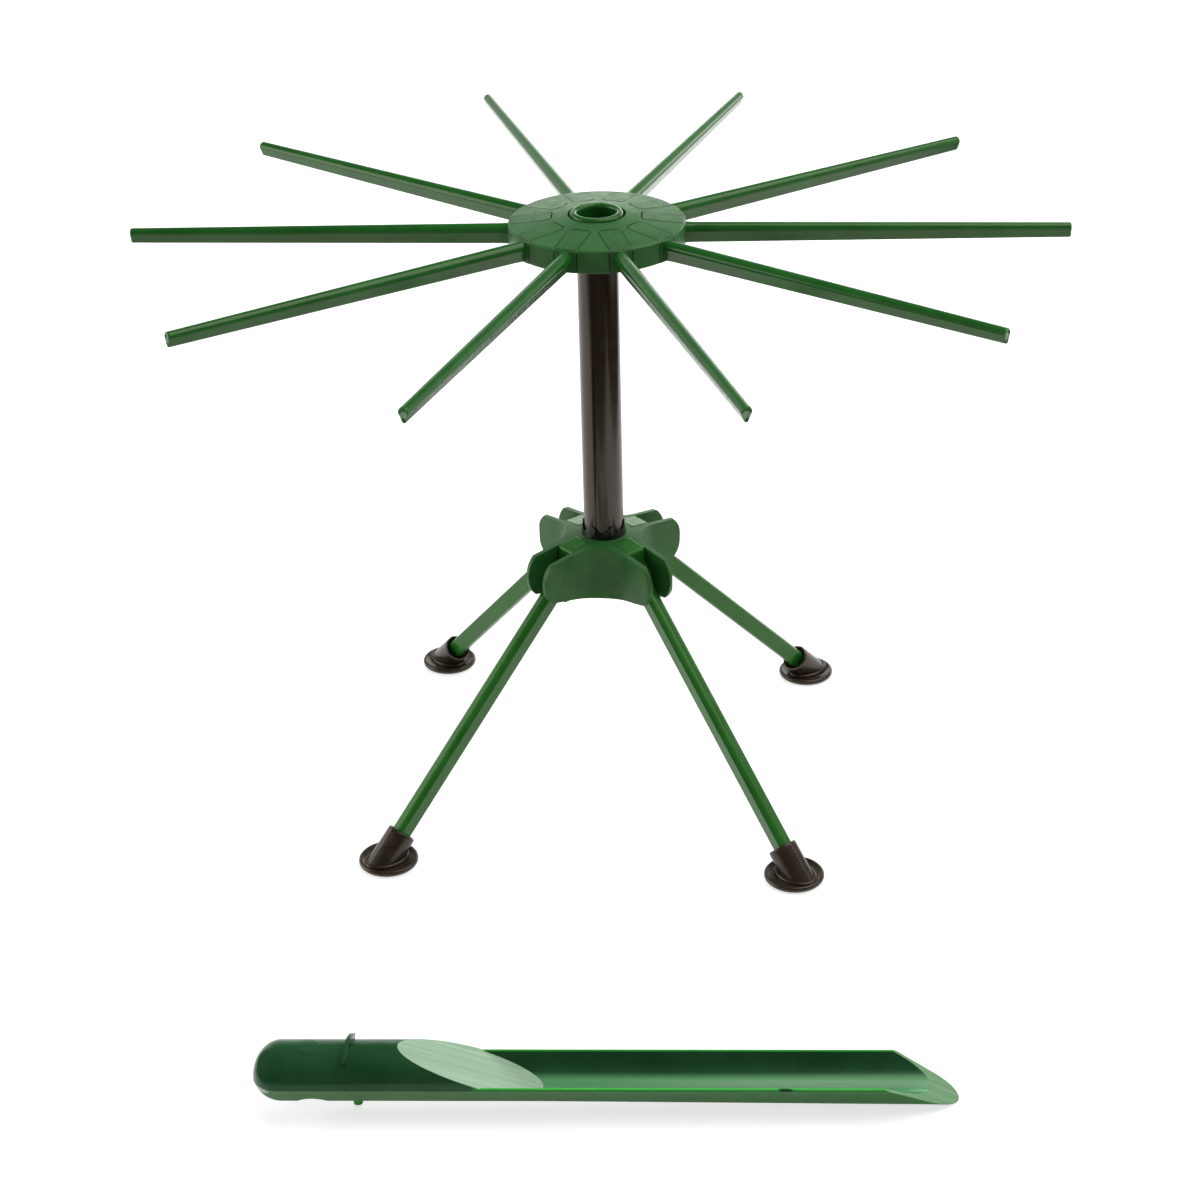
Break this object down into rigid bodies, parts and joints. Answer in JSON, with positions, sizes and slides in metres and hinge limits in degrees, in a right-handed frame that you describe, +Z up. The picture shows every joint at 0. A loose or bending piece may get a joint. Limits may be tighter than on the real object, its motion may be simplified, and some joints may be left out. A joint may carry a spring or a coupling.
{
  "type": "pasta drying rack",
  "caption": "Folding pasta drying rack: arms spread from a turning hub on a column with splayed folding legs on rubber feet, with a separate trough-shaped transfer wand.",
  "frame": {"origin": "on the column's axis, in the plane of the table that the feet stand on", "axes": "+Z up along the column, +X to the right as seen from the front, +Y to the back, away from the wand"},
  "size_m": [0.4394, 0.5099, 0.3017],
  "materials": {
    "satin_green": "satin",
    "ring_green": "gloss",
    "gloss_green": "gloss",
    "wand_green": "gloss",
    "black_collar": "gloss",
    "dark_tube": "gloss",
    "dark_insert": "satin",
    "slide_washer": "satin",
    "screw_steel": "satin",
    "pin_steel": "satin",
    "foot_rubber": "matte"
  },
  "bodies": {
    "stand": {"base": "satin_green", "column_collar": "black_collar", "column": "dark_tube", "column_plug": "dark_insert", "column_screw": "screw_steel", "column_washer": "screw_steel", "hub_ring": "ring_green", "hub_seat": "dark_insert", "hub_washer": "slide_washer", "leg_pins": "pin_steel"},
    "hub": {"hub": "satin_green", "arm_pins": "pin_steel"},
    "wand": {"wand_body": "wand_green", "wand_cap": "wand_green"},
    "arm_01": {"arm_01": "gloss_green"},
    "arm_02": {"arm_02": "gloss_green"},
    "arm_03": {"arm_03": "gloss_green"},
    "arm_04": {"arm_04": "gloss_green"},
    "arm_05": {"arm_05": "gloss_green"},
    "arm_06": {"arm_06": "gloss_green"},
    "arm_07": {"arm_07": "gloss_green"},
    "arm_08": {"arm_08": "gloss_green"},
    "arm_09": {"arm_09": "gloss_green"},
    "arm_10": {"arm_10": "gloss_green"},
    "leg_back_right": {"leg_back_right": "gloss_green", "foot_back_right": "foot_rubber"},
    "leg_back_left": {"leg_back_left": "gloss_green", "foot_back_left": "foot_rubber"},
    "leg_front_left": {"leg_front_left": "gloss_green", "foot_front_left": "foot_rubber"},
    "leg_front_right": {"leg_front_right": "gloss_green", "foot_front_right": "foot_rubber"}
  },
  "joints": [
    {"name": "hub_turn", "type": "hinge", "parent": "stand", "child": "hub", "pos_m": [0, 0, 0.29], "axis": [0, 0, 1], "continuous": true},
    {"name": "arm_01_fold", "type": "hinge", "parent": "hub", "child": "arm_01", "pos_m": [-0.02436, -0.0014, 0.29794], "axis": [-0.0576, 0.9983, 0], "range_deg": [0, 90]},
    {"name": "arm_02_fold", "type": "hinge", "parent": "hub", "child": "arm_02", "pos_m": [-0.01888, -0.01545, 0.29794], "axis": [-0.6334, 0.7738, 0], "range_deg": [0, 90]},
    {"name": "arm_03_fold", "type": "hinge", "parent": "hub", "child": "arm_03", "pos_m": [-0.00619, -0.0236, 0.29794], "axis": [-0.9673, 0.2538, 0], "range_deg": [0, 90]},
    {"name": "arm_04_fold", "type": "hinge", "parent": "hub", "child": "arm_04", "pos_m": [0.00886, -0.02273, 0.29794], "axis": [-0.9317, -0.3633, 0], "range_deg": [0, 90]},
    {"name": "arm_05_fold", "type": "hinge", "parent": "hub", "child": "arm_05", "pos_m": [0.02053, -0.01318, 0.29794], "axis": [-0.5402, -0.8415, 0], "range_deg": [0, 90]},
    {"name": "arm_06_fold", "type": "hinge", "parent": "hub", "child": "arm_06", "pos_m": [0.02436, 0.0014, 0.29794], "axis": [0.0576, -0.9983, 0], "range_deg": [0, 90]},
    {"name": "arm_07_fold", "type": "hinge", "parent": "hub", "child": "arm_07", "pos_m": [0.01888, 0.01545, 0.29794], "axis": [0.6334, -0.7738, 0], "range_deg": [0, 90]},
    {"name": "arm_08_fold", "type": "hinge", "parent": "hub", "child": "arm_08", "pos_m": [0.00619, 0.0236, 0.29794], "axis": [0.9673, -0.2538, 0], "range_deg": [0, 90]},
    {"name": "arm_09_fold", "type": "hinge", "parent": "hub", "child": "arm_09", "pos_m": [-0.00886, 0.02273, 0.29794], "axis": [0.9317, 0.3633, 0], "range_deg": [0, 90]},
    {"name": "arm_10_fold", "type": "hinge", "parent": "hub", "child": "arm_10", "pos_m": [-0.02053, 0.01318, 0.29794], "axis": [0.5402, 0.8415, 0], "range_deg": [0, 90]},
    {"name": "leg_back_right_fold", "type": "hinge", "parent": "stand", "child": "leg_back_right", "pos_m": [0.01202, 0.01202, 0.1109], "axis": [-0.7071, 0.7071, 0], "range_deg": [0, 45]},
    {"name": "leg_back_left_fold", "type": "hinge", "parent": "stand", "child": "leg_back_left", "pos_m": [-0.01202, 0.01202, 0.1109], "axis": [-0.7071, -0.7071, 0], "range_deg": [0, 45]},
    {"name": "leg_front_left_fold", "type": "hinge", "parent": "stand", "child": "leg_front_left", "pos_m": [-0.01202, -0.01202, 0.1109], "axis": [0.7071, -0.7071, 0], "range_deg": [0, 45]},
    {"name": "leg_front_right_fold", "type": "hinge", "parent": "stand", "child": "leg_front_right", "pos_m": [0.01202, -0.01202, 0.1109], "axis": [0.7071, 0.7071, 0], "range_deg": [0, 45]},
    {"name": "wand_lift", "type": "slide", "parent": "stand", "child": "wand", "axis": [0, 0, 1], "range_m": [0, 0.15]}
  ]
}
